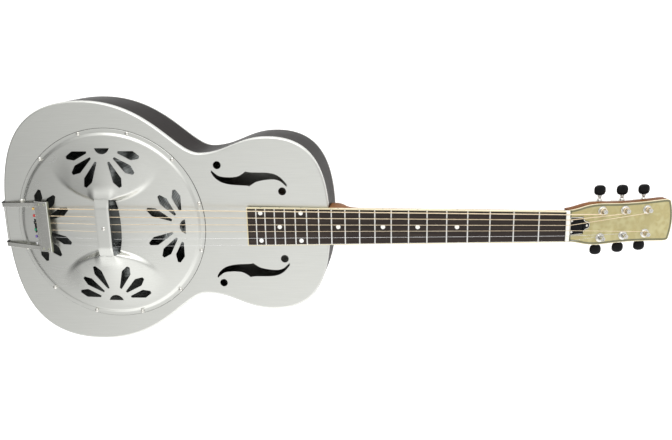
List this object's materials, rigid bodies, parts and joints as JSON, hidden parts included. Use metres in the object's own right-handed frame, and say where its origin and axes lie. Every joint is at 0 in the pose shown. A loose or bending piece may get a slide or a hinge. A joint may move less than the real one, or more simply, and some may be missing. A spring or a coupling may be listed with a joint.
{
  "type": "resonator guitar",
  "caption": "Metal-bodied resonator guitar with a spun cone under a slotted cover plate, f-holes, bound round neck and geared tuners.",
  "frame": {"origin": "on the flat outer face of the back, straight below the end of the scale length, 3 mm in front of the saddle", "axes": "+Z out of the face, +X from the saddle towards the headstock, +Y the bass side"},
  "size_m": [0.9648, 0.3546, 0.112],
  "materials": {
    "bell_metal": "fine lengthwise satin brushing",
    "dark_metal": "dull",
    "cone_aluminium": "spun",
    "nickel": "polished nickel plate",
    "steel": "plain",
    "brass": "plain",
    "bronze": "phosphor bronze winding",
    "maple": "oiled",
    "mahogany": "satin lacquer",
    "rosewood": "oiled",
    "cream": "polished",
    "bone": "polished bone",
    "pearloid": "pearl celluloid",
    "black_plastic": "glossy black"
  },
  "bodies": {
    "guitar": {"biscuit": "maple", "biscuit_screw": "steel", "body_back": "bell_metal", "body_sides": "bell_metal", "body_top": "bell_metal", "cover_plate": "bell_metal", "fingerboard": "rosewood", "fingerboard_binding": "cream", "fingerboard_wedge": "mahogany", "headstock_binding": "cream", "headstock_overlay": "pearloid", "neck": "mahogany", "neck_stick": "mahogany", "nut": "bone", "resonator_cone": "cone_aluminium", "saddle": "maple", "soundwell": "dark_metal", "strap_button": "nickel", "string_1": "steel", "string_2": "steel", "string_3": "bronze", "string_4": "bronze", "string_5": "bronze", "string_6": "bronze", "tailpiece_bracket": "nickel", "tailpiece_hinge_pin": "steel", "truss_rod": "steel", "truss_rod_cover": "black_plastic", "tuner_1_housing": "nickel", "tuner_1_bushing": "nickel", "tuner_2_housing": "nickel", "tuner_2_bushing": "nickel", "tuner_3_housing": "nickel", "tuner_3_bushing": "nickel", "tuner_4_housing": "nickel", "tuner_4_bushing": "nickel", "tuner_5_housing": "nickel", "tuner_5_bushing": "nickel", "tuner_6_housing": "nickel", "tuner_6_bushing": "nickel"},
    "tailpiece": {"tailpiece": "nickel"},
    "truss_rod_nut": {"truss_rod_nut": "brass"},
    "tuner_1_key": {"tuner_1_button": "black_plastic", "tuner_1_worm_shaft": "steel"},
    "tuner_1_post": {"tuner_1_post": "nickel"},
    "tuner_2_key": {"tuner_2_button": "black_plastic", "tuner_2_worm_shaft": "steel"},
    "tuner_2_post": {"tuner_2_post": "nickel"},
    "tuner_3_key": {"tuner_3_button": "black_plastic", "tuner_3_worm_shaft": "steel"},
    "tuner_3_post": {"tuner_3_post": "nickel"},
    "tuner_4_key": {"tuner_4_button": "black_plastic", "tuner_4_worm_shaft": "steel"},
    "tuner_4_post": {"tuner_4_post": "nickel"},
    "tuner_5_key": {"tuner_5_button": "black_plastic", "tuner_5_worm_shaft": "steel"},
    "tuner_5_post": {"tuner_5_post": "nickel"},
    "tuner_6_key": {"tuner_6_button": "black_plastic", "tuner_6_worm_shaft": "steel"},
    "tuner_6_post": {"tuner_6_post": "nickel"}
  },
  "joints": [
    {"name": "tailpiece_hinge", "type": "hinge", "parent": "guitar", "child": "tailpiece", "pos_m": [-0.168, 0, 0.0755], "axis": [0, 1, 0], "range_deg": [0, 1], "stiffness_Nm_per_rad": 20},
    {"name": "truss_rod_adjust", "type": "hinge", "parent": "guitar", "child": "truss_rod_nut", "pos_m": [0.64766, 0, 0.07487], "axis": [0.9998, 0, -0.0201], "range_deg": [-180, 180]},
    {"name": "tuner_1_turn", "type": "hinge", "parent": "guitar", "child": "tuner_1_key", "pos_m": [0.68554, -0.0189, 0.04901], "axis": [0, -1, 0], "continuous": true},
    {"name": "tuner_1_wind", "type": "hinge", "parent": "guitar", "child": "tuner_1_post", "pos_m": [0.68466, -0.0189, 0.07202], "axis": [0.2588, 0, 0.9659], "continuous": true},
    {"name": "tuner_2_turn", "type": "hinge", "parent": "guitar", "child": "tuner_2_key", "pos_m": [0.7179, -0.0177, 0.04034], "axis": [0, -1, 0], "continuous": true},
    {"name": "tuner_2_wind", "type": "hinge", "parent": "guitar", "child": "tuner_2_post", "pos_m": [0.71702, -0.0177, 0.06335], "axis": [0.2588, 0, 0.9659], "continuous": true},
    {"name": "tuner_3_turn", "type": "hinge", "parent": "guitar", "child": "tuner_3_key", "pos_m": [0.74948, -0.0168, 0.03188], "axis": [0, -1, 0], "continuous": true},
    {"name": "tuner_3_wind", "type": "hinge", "parent": "guitar", "child": "tuner_3_post", "pos_m": [0.74861, -0.0168, 0.05489], "axis": [0.2588, 0, 0.9659], "continuous": true},
    {"name": "tuner_4_turn", "type": "hinge", "parent": "guitar", "child": "tuner_4_key", "pos_m": [0.75074, 0.0168, 0.03154], "axis": [0, 1, 0], "continuous": true},
    {"name": "tuner_4_wind", "type": "hinge", "parent": "guitar", "child": "tuner_4_post", "pos_m": [0.74986, 0.0168, 0.05455], "axis": [0.2588, 0, 0.9659], "continuous": true},
    {"name": "tuner_5_turn", "type": "hinge", "parent": "guitar", "child": "tuner_5_key", "pos_m": [0.71915, 0.0177, 0.04], "axis": [0, 1, 0], "continuous": true},
    {"name": "tuner_5_wind", "type": "hinge", "parent": "guitar", "child": "tuner_5_post", "pos_m": [0.71828, 0.0177, 0.06301], "axis": [0.2588, 0, 0.9659], "continuous": true},
    {"name": "tuner_6_turn", "type": "hinge", "parent": "guitar", "child": "tuner_6_key", "pos_m": [0.68679, 0.0189, 0.04867], "axis": [0, 1, 0], "continuous": true},
    {"name": "tuner_6_wind", "type": "hinge", "parent": "guitar", "child": "tuner_6_post", "pos_m": [0.68592, 0.0189, 0.07168], "axis": [0.2588, 0, 0.9659], "continuous": true}
  ],
  "couplings": [
    {"joint": "tuner_1_wind", "follows": "tuner_1_turn", "ratio": 0.071429},
    {"joint": "tuner_2_wind", "follows": "tuner_2_turn", "ratio": 0.071429},
    {"joint": "tuner_3_wind", "follows": "tuner_3_turn", "ratio": 0.071429},
    {"joint": "tuner_4_wind", "follows": "tuner_4_turn", "ratio": -0.071429},
    {"joint": "tuner_5_wind", "follows": "tuner_5_turn", "ratio": -0.071429},
    {"joint": "tuner_6_wind", "follows": "tuner_6_turn", "ratio": -0.071429}
  ]
}
